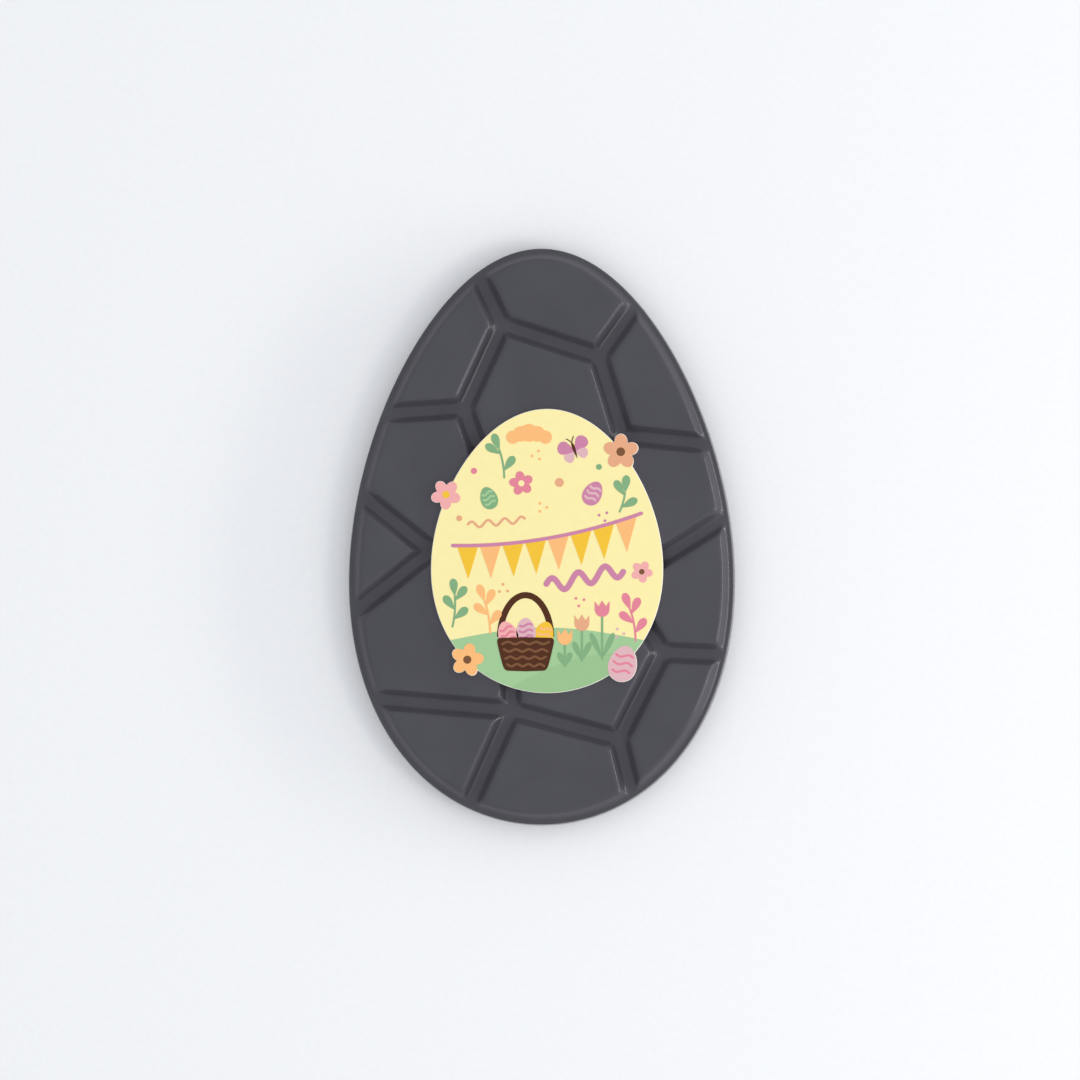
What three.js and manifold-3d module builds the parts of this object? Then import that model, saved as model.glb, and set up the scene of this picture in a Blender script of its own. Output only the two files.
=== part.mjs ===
// A flat moulded chocolate egg with a relief of raised cells, and the printed icing plaque laid on it.
// Millimetres, +Z up. The egg lies on its poured flat back, with its narrow end towards +Y.

import * as THREE from 'three';
import { mergeVertices } from 'three/addons/utils/BufferGeometryUtils.js';
import Module from 'manifold-3d';

// Egg outline: x = halfWidth * sin(t) * (1 - taper * cos(t)), y = halfLength * cos(t).
// Length and width are over the back edge before it is rounded.
const EGG_LENGTH = 150;
const EGG_WIDTH = 100.5;
const EGG_TAPER = 0.162;
const OUTLINE_STEPS = 120;

// Heights of the chocolate above its flat back.
const LEDGE_HEIGHT = 6.5;
const CELL_HEIGHT = 9;

// Rim, as distances in from the outline: the drafted wall, the ledge and the outer slope of the cells.
const BACK_EDGE_ROUND = 0.5;
const WALL_DRAFT = 0.6;
const SHOULDER_ROUND = 0.4;
const LEDGE_INNER = 1.9;
const LEDGE_FOOT_ROUND = 0.4;
const SLOPE_TOP = 3.6;

// Grooves between the cells: a trough with a rounded floor and soft lips, as half widths of its section.
const GROOVE_FLOOR = 1.2;
const GROOVE_TOP = 3.1;
const GROOVE_FOOT_ROUND = 0.9;
const CELL_LIP_ROUND = 0.8;
const ROUND_STEPS = 3;
const CUTTER_REACH = 2;
const JUNCTION_STEPS = 24;

// Icing plaque: a thin sugar disc of the same family of outline, laid on the cell tops.
const PLAQUE_LENGTH = 73.2;
const PLAQUE_WIDTH = 59.8;
const PLAQUE_TAPER = 0.13;
const PLAQUE_THICKNESS = 1.2;
const PLAQUE_CENTRE = [1.6, -3.9];
const PLAQUE_EDGE_ROUND = 0.3;
const PLAQUE_STEPS = 96;

// Ornaments cut out with the plaque where its print runs over the edge, placed from its centre.
const FLOWER_LOBES = [
  { at: [19, 25.5], radius: 4.7, turn: 0.3 },
  { at: [-26, 14.5], radius: 4, turn: 0.9 },
  { at: [-20.5, -28], radius: 4.4, turn: 0.1 },
];
const FLOWER_PETALS = 5;
const FLOWER_WAIST = 0.62;
const FLOWER_STEPS = 40;
const EGG_LOBE = { at: [19.5, -29], halfWidth: 3.7, halfLength: 4.8, turn: -0.25 };

// Points where the grooves meet, named by their place on the egg.
const JUNCTIONS = {
  crownLeft: [-10.1, 54.6],
  crownRight: [14.9, 46.4],
  shoulderLeft: [-20, 33],
  shoulderRight: [21.2, 26],
  heartTopLeft: [-13.3, 14.8],
  heartTopRight: [14.6, 13.8],
  waistLeft: [-28.4, -3.8],
  heartLeft: [-23.4, -3.6],
  heartRight: [20, -12.6],
  hipRight: [31.3, -30],
  heartBottom: [-7.8, -30.7],
  footLeft: [-7.7, -45],
  footRight: [20, -52.3],
};

// Points outside the outline towards which grooves run out over the rim.
const RIM_EXITS = {
  crownLeftExit: [-16.6, 68],
  crownRightExit: [27, 63.4],
  shoulderLeftExit: [-45.6, 31.3],
  shoulderRightExit: [49.1, 23.1],
  waistUpperExit: [-51.6, 14.6],
  waistLowerExit: [-53.3, -23.4],
  heartRightExit: [53.5, 8.4],
  hipRightExit: [51.5, -30.9],
  footFarLeftExit: [-50.7, -41.4],
  footLeftExit: [-21.5, -75.9],
  footRightExit: [25.4, -74.2],
};

const GROOVES = [
  ['crownLeft', 'crownRight'],
  ['crownLeft', 'shoulderLeft'],
  ['crownRight', 'shoulderRight'],
  ['shoulderLeft', 'heartTopLeft'],
  ['shoulderRight', 'heartTopRight'],
  ['heartTopLeft', 'heartTopRight'],
  ['heartTopLeft', 'heartLeft'],
  ['heartTopRight', 'heartRight'],
  ['waistLeft', 'heartLeft'],
  ['heartLeft', 'heartBottom'],
  ['heartRight', 'heartBottom'],
  ['heartRight', 'hipRight'],
  ['hipRight', 'footRight'],
  ['heartBottom', 'footLeft'],
  ['footLeft', 'footRight'],
  ['crownLeft', 'crownLeftExit'],
  ['crownRight', 'crownRightExit'],
  ['shoulderLeft', 'shoulderLeftExit'],
  ['shoulderRight', 'shoulderRightExit'],
  ['waistLeft', 'waistUpperExit'],
  ['waistLeft', 'waistLowerExit'],
  ['heartRight', 'heartRightExit'],
  ['hipRight', 'hipRightExit'],
  ['footLeft', 'footFarLeftExit'],
  ['footLeft', 'footLeftExit'],
  ['footRight', 'footRightExit'],
];

const wasm = await Module();
wasm.setup();

// Egg outline of the given full sizes, with the half width that makes the widest place come out right.
function eggOutline(length, width, taper) {
  const widestCosine = (1 - Math.sqrt(1 + 8 * taper ** 2)) / (4 * taper);
  const widestFactor = Math.sqrt(1 - widestCosine ** 2) * (1 - taper * widestCosine);
  return { halfLength: length / 2, halfWidth: width / 2 / widestFactor, taper };
}

// Point of the outline at the angle t from the narrow end, moved in along its normal by the inset.
function outlinePoint({ halfLength, halfWidth, taper }, t, inset) {
  const along = new THREE.Vector2(
    halfWidth * (Math.cos(t) - taper * Math.cos(2 * t)),
    -halfLength * Math.sin(t),
  ).normalize();
  return new THREE.Vector2(
    halfWidth * Math.sin(t) * (1 - taper * Math.cos(t)) + inset * along.y,
    halfLength * Math.cos(t) - inset * along.x,
  );
}

// Profile through the given corners; a corner with a round is replaced by a curve that starts and
// ends that far from it.
function roundedProfile(corners) {
  const points = corners.map(({ x, y }) => new THREE.Vector2(x, y));
  return points.flatMap((point, i) => {
    const round = corners[i].round;
    if (!round) return [point];
    const towards = (other) => point.clone().add(other.clone().sub(point).setLength(round));
    const curve = new THREE.QuadraticBezierCurve(towards(points[i - 1]), point, towards(points[i + 1]));
    return curve.getPoints(ROUND_STEPS);
  });
}

// Solid whose rings follow an egg outline: the profile holds (inset, height) from the back to the top,
// is turned about Z, and each of its rings is then fitted to the outline.
function eggSolid(outline, profile, steps) {
  const bottom = new THREE.Vector2(0, profile[0].y);
  const top = new THREE.Vector2(0, profile.at(-1).y);
  const unitRings = profile.map(({ y }) => new THREE.Vector2(1, y));
  const geometry = new THREE.LatheGeometry([bottom, ...unitRings, top], steps);
  geometry.rotateX(Math.PI / 2);
  const ringCount = profile.length + 2;
  const position = geometry.getAttribute('position');
  for (let i = 0; i < position.count; i += 1) {
    const ring = i % ringCount;
    const onAxis = ring === 0 || ring === ringCount - 1;
    if (onAxis) {
      position.setXYZ(i, 0, 0, position.getZ(i));
    } else {
      const t = (Math.floor(i / ringCount) / steps) * 2 * Math.PI;
      const point = outlinePoint(outline, t, profile[ring - 1].x);
      position.setXYZ(i, point.x, point.y, profile[ring - 1].y);
    }
  }
  return geometry;
}

// Manifold solid of a closed geometry, with shared vertices merged and empty triangles dropped.
function toSolid(geometry) {
  const bare = geometry.clone();
  bare.deleteAttribute('normal');
  bare.deleteAttribute('uv');
  const merged = mergeVertices(bare);
  const index = Array.from(merged.index.array);
  const kept = [];
  for (let i = 0; i < index.length; i += 3) {
    const [a, b, c] = index.slice(i, i + 3);
    if (a !== b && b !== c && c !== a) kept.push(a, b, c);
  }
  const mesh = new wasm.Mesh({
    numProp: 3,
    vertProperties: new Float32Array(merged.getAttribute('position').array),
    triVerts: new Uint32Array(kept),
  });
  const solid = new wasm.Manifold(mesh);
  if (solid.volume() > 0) return solid;
  mesh.triVerts.reverse();
  return new wasm.Manifold(mesh);
}

function toGeometry(solid) {
  const mesh = solid.getMesh();
  const geometry = new THREE.BufferGeometry();
  geometry.setAttribute('position', new THREE.BufferAttribute(mesh.vertProperties, 3));
  geometry.setIndex(new THREE.BufferAttribute(mesh.triVerts, 1));
  geometry.computeVertexNormals();
  return geometry;
}

// Half section of a groove: narrow floor, wide rounded foot, sloping wall and the rounded lip of the cell.
function grooveHalfSection() {
  return roundedProfile([
    { x: 0, y: LEDGE_HEIGHT },
    { x: GROOVE_FLOOR, y: LEDGE_HEIGHT, round: GROOVE_FOOT_ROUND },
    { x: GROOVE_TOP, y: CELL_HEIGHT, round: CELL_LIP_ROUND },
    { x: GROOVE_TOP + CELL_LIP_ROUND, y: CELL_HEIGHT },
    { x: GROOVE_TOP + CELL_LIP_ROUND, y: CELL_HEIGHT + CUTTER_REACH },
    { x: 0, y: CELL_HEIGHT + CUTTER_REACH },
  ]);
}

// Straight cutter with the groove's section, from one point to another.
function grooveCutter(halfSection, start, end) {
  const side = halfSection.slice(1, -1);
  const otherSide = side.map(({ x, y }) => new THREE.Vector2(-x, y)).reverse();
  const from = new THREE.Vector3(...start, 0);
  const run = new THREE.Vector3(...end, 0).sub(from);
  const section = new THREE.Shape([...side, ...otherSide]);
  const geometry = new THREE.ExtrudeGeometry(section, { depth: run.length(), bevelEnabled: false });
  const along = run.clone().normalize();
  const up = new THREE.Vector3(0, 0, 1);
  const across = new THREE.Vector3().crossVectors(up, along);
  const place = new THREE.Matrix4().makeBasis(across, up, along).setPosition(from);
  return toSolid(geometry.applyMatrix4(place));
}

// Round cutter where grooves meet: the half section turned about the junction.
function junctionCutter(halfSection, [x, y]) {
  const geometry = new THREE.LatheGeometry(halfSection, JUNCTION_STEPS);
  geometry.rotateX(Math.PI / 2);
  return toSolid(geometry.translate(x, y, 0));
}

function chocolateGeometry() {
  const outline = eggOutline(EGG_LENGTH, EGG_WIDTH, EGG_TAPER);
  const profile = roundedProfile([
    { x: SLOPE_TOP, y: 0 },
    { x: 0, y: 0, round: BACK_EDGE_ROUND },
    { x: WALL_DRAFT, y: LEDGE_HEIGHT, round: SHOULDER_ROUND },
    { x: LEDGE_INNER, y: LEDGE_HEIGHT, round: LEDGE_FOOT_ROUND },
    { x: SLOPE_TOP, y: CELL_HEIGHT, round: CELL_LIP_ROUND },
    { x: SLOPE_TOP + 2 * CELL_LIP_ROUND, y: CELL_HEIGHT },
  ]);
  const halfSection = grooveHalfSection();
  const points = { ...JUNCTIONS, ...RIM_EXITS };
  const cutters = [
    ...GROOVES.map(([start, end]) => grooveCutter(halfSection, points[start], points[end])),
    ...Object.values(JUNCTIONS).map((point) => junctionCutter(halfSection, point)),
  ];
  const relief = cutters.reduce((sum, cutter) => sum.add(cutter));
  return toGeometry(toSolid(eggSolid(outline, profile, OUTLINE_STEPS)).subtract(relief));
}

// Flat piece of icing with the given outline points, as thick as the plaque.
function icingCutout(points) {
  const shape = new THREE.Shape(points);
  return toSolid(new THREE.ExtrudeGeometry(shape, { depth: PLAQUE_THICKNESS, bevelEnabled: false }));
}

// Points of a closed curve given by its radius at each angle, turned and moved into place.
function closedCurve(steps, turn, [x, y], pointAt) {
  const place = new THREE.Vector2(x, y);
  const origin = new THREE.Vector2();
  return Array.from({ length: steps }, (_, i) => {
    const angle = (i / steps) * 2 * Math.PI;
    return pointAt(angle).rotateAround(origin, turn).add(place);
  });
}

function flowerLobe({ at, radius, turn }) {
  return icingCutout(closedCurve(FLOWER_STEPS, turn, at, (angle) => {
    const swell = Math.abs(Math.cos((FLOWER_PETALS * angle) / 2));
    const reach = radius * (FLOWER_WAIST + (1 - FLOWER_WAIST) * swell);
    return new THREE.Vector2(reach * Math.cos(angle), reach * Math.sin(angle));
  }));
}

function eggLobe({ at, halfWidth, halfLength, turn }) {
  const outline = { halfLength, halfWidth, taper: EGG_TAPER };
  return icingCutout(closedCurve(FLOWER_STEPS, turn, at, (angle) => outlinePoint(outline, angle, 0)));
}

function plaqueGeometry() {
  const outline = eggOutline(PLAQUE_LENGTH, PLAQUE_WIDTH, PLAQUE_TAPER);
  const profile = roundedProfile([
    { x: 0, y: 0 },
    { x: 0, y: PLAQUE_THICKNESS, round: PLAQUE_EDGE_ROUND },
    { x: 2 * PLAQUE_EDGE_ROUND, y: PLAQUE_THICKNESS },
  ]);
  const disc = toSolid(eggSolid(outline, profile, PLAQUE_STEPS));
  const lobes = [...FLOWER_LOBES.map(flowerLobe), eggLobe(EGG_LOBE)];
  return toGeometry(lobes.reduce((sum, lobe) => sum.add(lobe), disc));
}

function part(name, geometry, material) {
  const mesh = new THREE.Mesh(geometry, material);
  mesh.name = name;
  return mesh;
}

const darkChocolate = new THREE.MeshStandardMaterial({ color: 0x4a474a, roughness: 0.28, metalness: 0 });
const creamIcing = new THREE.MeshStandardMaterial({ color: 0xfcefaf, roughness: 0.6, metalness: 0 });

const chocolateEgg = part('chocolate_egg', chocolateGeometry(), darkChocolate);
const icingPlaque = part('icing_plaque', plaqueGeometry(), creamIcing);
icingPlaque.position.set(...PLAQUE_CENTRE, CELL_HEIGHT);

const decoratedEgg = new THREE.Group();
decoratedEgg.add(chocolateEgg, icingPlaque);

export default decoratedEgg;
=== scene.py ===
"""Looks of a flat moulded chocolate egg with a printed icing plaque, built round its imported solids.

The chocolate, the icing sheet and the print on it are surfaces worked out with numpy, in millimetres,
and are put into Blender in metres. A plain studio shows them from above, as they lie.
"""

from __future__ import annotations

import logging
import math
from collections.abc import Sequence
from dataclasses import dataclass, field
from enum import Enum

import bpy
import numpy as np
from mathutils import Matrix, Quaternion, Vector
from mathutils.geometry import tessellate_polygon

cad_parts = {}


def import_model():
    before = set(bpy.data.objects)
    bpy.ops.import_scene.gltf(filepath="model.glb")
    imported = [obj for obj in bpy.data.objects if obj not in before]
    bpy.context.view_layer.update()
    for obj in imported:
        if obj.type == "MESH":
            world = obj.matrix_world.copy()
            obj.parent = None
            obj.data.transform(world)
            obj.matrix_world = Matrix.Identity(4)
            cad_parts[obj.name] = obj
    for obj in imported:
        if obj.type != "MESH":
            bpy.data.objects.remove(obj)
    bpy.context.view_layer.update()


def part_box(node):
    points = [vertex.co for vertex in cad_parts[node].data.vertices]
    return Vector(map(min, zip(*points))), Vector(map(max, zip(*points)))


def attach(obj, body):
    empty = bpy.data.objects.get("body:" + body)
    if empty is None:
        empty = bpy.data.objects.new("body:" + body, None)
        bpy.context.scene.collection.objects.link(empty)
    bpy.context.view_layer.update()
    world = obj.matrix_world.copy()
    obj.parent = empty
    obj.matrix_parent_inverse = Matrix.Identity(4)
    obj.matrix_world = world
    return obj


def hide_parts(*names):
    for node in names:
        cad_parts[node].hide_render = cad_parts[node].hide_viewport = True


LOG = logging.getLogger("chocolate_egg")
MM = 0.001
BODY = "root"
FULL_TURN = 2.0 * math.pi
EGG_TAPER = 0.162
MOTIF_POINTS = 120

Numbers = float | np.ndarray
Place = tuple[float, float]
Colour = tuple[float, float, float, float]
Tree = bpy.types.NodeTree
Socket = bpy.types.NodeSocket


# Colours and patterns


def linear_colour(hex_value: str, share: float = 1.0) -> Colour:
    """Turns an sRGB hex value into the linear colour that shaders take.

    Args:
        hex_value: Six hex digits, red first.
        share: Share of its light that the colour keeps.

    Returns:
        Linear red, green and blue, and an alpha of 1.
    """
    channels = [int(hex_value[i : i + 2], 16) / 255.0 for i in (0, 2, 4)]
    linear = [c / 12.92 if c <= 0.04045 else ((c + 0.055) / 1.055) ** 2.4 for c in channels]
    return (*(share * c for c in linear), 1.0)


def add_node(
    tree: Tree, kind: str, inputs: dict[str | int, object] | None = None, **settings: object
) -> bpy.types.Node:
    """Adds a node with its settings and links.

    Args:
        tree: The node tree that takes the node.
        kind: The node's type name.
        inputs: Value or output socket for each input, by name or number.
        **settings: Properties of the node itself.

    Returns:
        The new node.
    """
    node = tree.nodes.new(kind)
    for name, value in settings.items():
        setattr(node, name, value)
    for name, value in (inputs or {}).items():
        if isinstance(value, Socket):
            tree.links.new(value, node.inputs[name])
        else:
            node.inputs[name].default_value = value
    return node


def new_material(name: str) -> tuple[bpy.types.Material, Tree, Socket]:
    """Starts an empty node material.

    Args:
        name: The material's name.

    Returns:
        The material, its node tree and the output of the Object coordinates.
    """
    material = bpy.data.materials.new(name)
    material.use_nodes = True
    tree = material.node_tree
    tree.nodes.clear()
    return material, tree, add_node(tree, "ShaderNodeTexCoord").outputs["Object"]


def finish_surface(tree: Tree, inputs: dict[str | int, object]) -> None:
    """Closes a material with a Principled surface that has the given inputs."""
    shader = add_node(tree, "ShaderNodeBsdfPrincipled", inputs)
    add_node(tree, "ShaderNodeOutputMaterial", {"Surface": shader.outputs["BSDF"]})


def soft_lumps(
    tree: Tree,
    place: Socket,
    size_mm: float,
    ends: tuple[float, float] = (0.0, 1.0),
    spread: float = 0.2,
    octaves: float = 4.0,
) -> Socket:
    """Gives a value that wanders in soft lumps: the middle of a noise's range, stretched to two ends.

    Args:
        tree: The material's node tree.
        place: Coordinates in metres.
        size_mm: Distance from lump to lump.
        ends: Lowest and highest value.
        spread: How far on each side of its middle the noise counts.
        octaves: Octaves of finer noise.

    Returns:
        The value.
    """
    inputs = {"Vector": place, "Scale": 1.0 / (size_mm * MM), "Detail": octaves}
    lumps = add_node(tree, "ShaderNodeTexNoise", inputs).outputs["Fac"]
    source = {"Value": lumps, "From Min": 0.5 - spread, "From Max": 0.5 + spread}
    result = {"To Min": ends[0], "To Max": ends[1]}
    return add_node(tree, "ShaderNodeMapRange", source | result).outputs["Result"]


def mottled(
    tree: Tree, place: Socket, size_mm: float, tones: tuple[Colour, Colour], spread: float = 0.2
) -> Socket:
    """Gives a colour that wanders between two tones in soft lumps.

    Args:
        tree: The material's node tree.
        place: Coordinates in metres.
        size_mm: Distance from lump to lump.
        tones: The two colours.
        spread: The smaller it is, the more of the surface has one tone or the other.

    Returns:
        The colour.
    """
    inputs = {0: soft_lumps(tree, place, size_mm, spread=spread), 6: tones[0], 7: tones[1]}
    return add_node(tree, "ShaderNodeMix", inputs, data_type="RGBA").outputs[2]


def grained(tree: Tree, place: Socket, size_mm: float, depth_mm: float, strength: float) -> Socket:
    """Gives a surface's direction where a fine grain roughens it.

    Args:
        tree: The material's node tree.
        place: Coordinates in metres.
        size_mm: Distance from grain to grain.
        depth_mm: Depth of the grain.
        strength: Share of it that shows.

    Returns:
        The direction, for a Normal input.
    """
    noise = {"Vector": place, "Scale": 1.0 / (size_mm * MM), "Detail": 3.0}
    grain = add_node(tree, "ShaderNodeTexNoise", noise).outputs["Fac"]
    bump = {"Height": grain, "Strength": strength, "Distance": depth_mm * MM}
    return add_node(tree, "ShaderNodeBump", bump).outputs["Normal"]


# Shapes


def shares(count: int) -> np.ndarray:
    """Gives even shares from 0 to 1."""
    return np.linspace(0.0, 1.0, count)


def round_angles(count: int) -> np.ndarray:
    """Gives even angles over one full turn, which ends just before the first one."""
    return np.linspace(0.0, FULL_TURN, count, endpoint=False)


def ring_pairs(items: Sequence) -> list[tuple]:
    """Pairs each item with the next one, and the last with the first."""
    return list(zip(items, [*items[1:], items[0]]))


def joined(x: Numbers, y: Numbers) -> np.ndarray:
    """Joins x and y into points with the two in the last axis."""
    return np.stack(np.broadcast_arrays(x, y), axis=-1)


def raised(points: np.ndarray, height: Numbers) -> np.ndarray:
    """Gives flat points a height as their third coordinate."""
    return np.concatenate([points, np.broadcast_to(height, points.shape[:-1])[..., None]], axis=-1)


def unit(vectors: np.ndarray) -> np.ndarray:
    """Gives vectors the length 1."""
    return vectors / np.linalg.norm(vectors, axis=-1, keepdims=True)


def turned(points: np.ndarray, angle: float, place: Place | np.ndarray) -> np.ndarray:
    """Turns points about the origin and moves them into place.

    Args:
        points: Points with x and y in the last axis.
        angle: Turn to the left in radians.
        place: Where the origin goes.

    Returns:
        The placed points.
    """
    cosine, sine = math.cos(angle), math.sin(angle)
    return points @ np.array([[cosine, sine], [-sine, cosine]]) + np.array(place)


def clockwise(points: np.ndarray) -> np.ndarray:
    """Gives a closed outline in clockwise order, seen from above.

    Args:
        points: Outline points in order, the last one not repeating the first.

    Returns:
        The same points, reversed if they ran the other way.
    """
    following = np.roll(points, -1, axis=0)
    area = (points[:, 0] * following[:, 1] - following[:, 0] * points[:, 1]).sum()
    return points if area < 0.0 else points[::-1]


def run_outside(points: np.ndarray, loop: np.ndarray) -> np.ndarray:
    """Gives the run of a closed outline that lies outside a loop.

    A point is inside if a level line from it to the right crosses the loop an odd number of times.

    Args:
        points: Outline points in order.
        loop: Points of the loop in order.

    Returns:
        The outline's points outside the loop, from where it leaves the loop to where it enters it.
    """
    end = np.roll(loop, -1, axis=0)
    x, y = points[:, 0, None], points[:, 1, None]
    spans = (loop[:, 1] > y) != (end[:, 1] > y)
    rise = np.where(end[:, 1] == loop[:, 1], 1.0, end[:, 1] - loop[:, 1])
    crossing = loop[:, 0] + (y - loop[:, 1]) * (end[:, 0] - loop[:, 0]) / rise
    outside = (spans & (x < crossing)).sum(1) % 2 == 0
    start = int(np.argmax(~np.roll(outside, 1) & outside))
    return np.roll(points, -start, axis=0)[np.roll(outside, -start)]


def rounded_profile(corners: list[tuple[float, float, float]], steps: int) -> np.ndarray:
    """Gives a profile whose corners are rounded by quadratic curves.

    Args:
        corners: Place, height and round of each corner. The round is the length it takes off both sides.
        steps: Steps of each curve.

    Returns:
        Points with place and height in the last axis.
    """
    places = np.array([corner[:2] for corner in corners])
    share = shares(steps + 1)[:, None]
    runs = []
    for i, corner in enumerate(corners):
        if corner[2] == 0.0:
            runs.append(places[i : i + 1])
            continue
        here = places[i]
        start, end = (here + unit(places[i + k] - here) * corner[2] for k in (-1, 1))
        runs.append((1.0 - share) ** 2 * start + 2.0 * share * (1.0 - share) * here + share**2 * end)
    return np.concatenate(runs)


@dataclass(frozen=True)
class EggOutline:
    """Egg curve from its narrow end: x is half_width sin t (1 - taper cos t) and y is half_length cos t."""

    half_length: float
    half_width: float
    taper: float

    @classmethod
    def of_size(cls, length: float, width: float, taper: float) -> EggOutline:
        """Makes the curve that has the given full length and greatest width.

        Args:
            length: Full length along Y.
            width: Greatest width along X.
            taper: Share by which the narrow half is slimmer and the wide half fuller.

        Returns:
            The curve.
        """
        cosine = (1.0 - math.sqrt(1.0 + 8.0 * taper**2)) / (4.0 * taper)
        widest = math.sqrt(1.0 - cosine**2) * (1.0 - taper * cosine)
        return cls(length / 2.0, width / 2.0 / widest, taper)

    def tangents(self, t: np.ndarray) -> np.ndarray:
        """Gives the derivative of the curve by its angle, in the last axis."""
        dx = self.half_width * (np.cos(t) - self.taper * np.cos(2.0 * t))
        return joined(dx, -self.half_length * np.sin(t))

    def points(self, t: np.ndarray, inset: Numbers = 0.0) -> np.ndarray:
        """Gives points of the curve, moved in along its normal.

        Args:
            t: Angles from the narrow end.
            inset: Distance inwards.

        Returns:
            Points with x and y in the last axis.
        """
        along = unit(self.tangents(t))
        x = self.half_width * np.sin(t) * (1.0 - self.taper * np.cos(t)) + inset * along[..., 1]
        return joined(x, self.half_length * np.cos(t) - inset * along[..., 0])

    def contains(self, points: np.ndarray) -> np.ndarray:
        """Tells which points lie inside: x and y over their half sizes, squared, sum to under 1.

        Args:
            points: Points with x and y in the last axis.

        Returns:
            True for each point inside.
        """
        y = points[..., 1] / self.half_length
        x = points[..., 0] / (self.half_width * (1.0 - self.taper * np.clip(y, -1.0, 1.0)))
        return x**2 + y**2 < 1.0

    def depth(self, points: np.ndarray) -> np.ndarray:
        """Measures how deep points lie in the egg, by walking an angle to the nearest place of the curve.

        Args:
            points: Points with x and y in the last axis.

        Returns:
            Distance to the curve, negative outside it.
        """
        walk_steps = 8
        t = np.arctan2(points[..., 0] / self.half_width, points[..., 1] / self.half_length)
        for _ in range(walk_steps):
            tangent = self.tangents(t)
            offset = points - self.points(t)
            t = t + (offset * tangent).sum(-1) / (tangent**2).sum(-1)
        distance = np.linalg.norm(points - self.points(t), axis=-1)
        return np.where(self.contains(points), distance, -distance)


def link_object(name: str, data: bpy.types.ID) -> bpy.types.Object:
    """Makes an object and links it to the scene.

    Args:
        name: The object's name.
        data: Its mesh, light or camera.

    Returns:
        The object.
    """
    made = bpy.data.objects.new(name, data)
    bpy.context.scene.collection.objects.link(made)
    return made


@dataclass
class SurfaceMesh:
    """Collects grids of points in millimetres and welds them into one closed mesh."""

    weld: float = 1e-4
    points: list[np.ndarray] = field(default_factory=list)
    triangles: list[np.ndarray] = field(default_factory=list)
    count: int = 0

    def _add(self, points: np.ndarray, triangles: np.ndarray) -> None:
        """Takes points and the triangles between them.

        Args:
            points: Points of shape (points, 3).
            triangles: Numbers of each triangle's three points.
        """
        self.points.append(points)
        self.triangles.append(triangles + self.count)
        self.count += len(points)

    def add_grid(self, grid: np.ndarray, close_rows: bool = False, close_columns: bool = False) -> None:
        """Adds a surface that is a function of two parameters.

        Its front is where the step along the rows crossed with the step along the columns points.

        Args:
            grid: Points of shape (rows, columns, 3).
            close_rows: Joins the last row to the first.
            close_columns: Joins the last column to the first.
        """
        rows, columns = grid.shape[:2]
        i = np.arange(rows if close_rows else rows - 1)[:, None]
        j = np.arange(columns if close_columns else columns - 1)[None, :]
        next_i, next_j = (i + 1) % rows, (j + 1) % columns
        here, below = i * columns + j, next_i * columns + j
        across, right = next_i * columns + next_j, i * columns + next_j
        halves = [np.stack(corners, axis=-1) for corners in ((here, below, across), (here, across, right))]
        self._add(grid.reshape(-1, 3), np.concatenate(halves).reshape(-1, 3))

    def add_cap(self, outline: np.ndarray, height: float, facing_up: bool) -> None:
        """Fills a flat outline.

        Args:
            outline: Outline points in order, of shape (points, 2).
            height: Height of the face.
            facing_up: Whether the face looks up or down.
        """
        found = np.array(tessellate_polygon([[Vector((x, y, 0.0)) for x, y in outline.tolist()]]))
        a, b, c = (outline[found[:, k]] for k in range(3))
        turn = (b[:, 0] - a[:, 0]) * (c[:, 1] - a[:, 1]) - (b[:, 1] - a[:, 1]) * (c[:, 0] - a[:, 0])
        flipped = (turn > 0.0) != facing_up
        found[flipped] = found[flipped][:, ::-1]
        self._add(raised(outline, height), found)

    def to_object(self, name: str, smooth: bool) -> bpy.types.Object:
        """Welds what was added and makes a Blender object of it, in metres.

        Args:
            name: The object's name.
            smooth: Whether the surface is shaded smooth.

        Returns:
            The object, linked to the scene.
        """
        points = np.concatenate(self.points)
        keys = np.round(points / self.weld).astype(np.int64)
        _, first, inverse = np.unique(keys, axis=0, return_index=True, return_inverse=True)
        triangles = inverse.reshape(-1)[np.concatenate(self.triangles)]
        a, b, c = triangles.T
        mesh = bpy.data.meshes.new(name)
        mesh.from_pydata(points[first] * MM, [], triangles[(a != b) & (b != c) & (c != a)])
        if smooth:
            mesh.shade_smooth()
        return link_object(name, mesh)


def dress(piece: bpy.types.Object, material: bpy.types.Material) -> bpy.types.Object:
    """Gives a piece its material and its place in the model.

    Args:
        piece: The finished piece.
        material: Its material.

    Returns:
        The same piece.
    """
    piece.data.materials.append(material)
    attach(piece, BODY)
    return piece


# Finishes


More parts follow.
